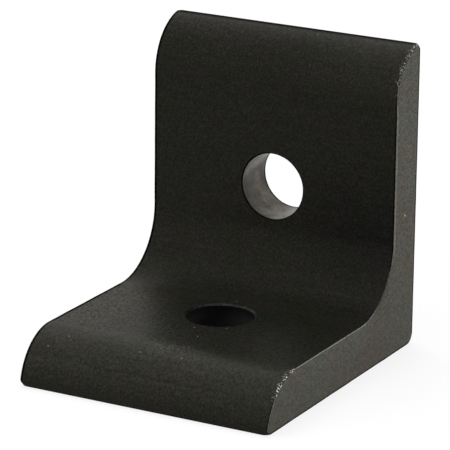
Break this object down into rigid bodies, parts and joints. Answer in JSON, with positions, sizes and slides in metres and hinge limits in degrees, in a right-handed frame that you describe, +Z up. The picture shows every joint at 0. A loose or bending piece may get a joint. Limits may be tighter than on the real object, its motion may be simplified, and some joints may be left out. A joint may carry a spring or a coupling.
{
  "type": "t slot corner bracket",
  "caption": "L-shaped corner bracket cut from one extruded section, with rounded leg tips, a large inside fillet and a plain bolt hole in each leg.",
  "frame": {"origin": "middle of the base leg's underside, on the axis of the base leg's hole", "axes": "+Z up the upright leg and along the base hole, -Y from the upright towards the base leg's tip, X along the extrusion"},
  "size_m": [0.0334, 0.0381, 0.0381],
  "materials": {
    "black_anodise": "satin"
  },
  "bodies": {
    "root": {"corner_bracket": "black_anodise"}
  },
  "joints": []
}
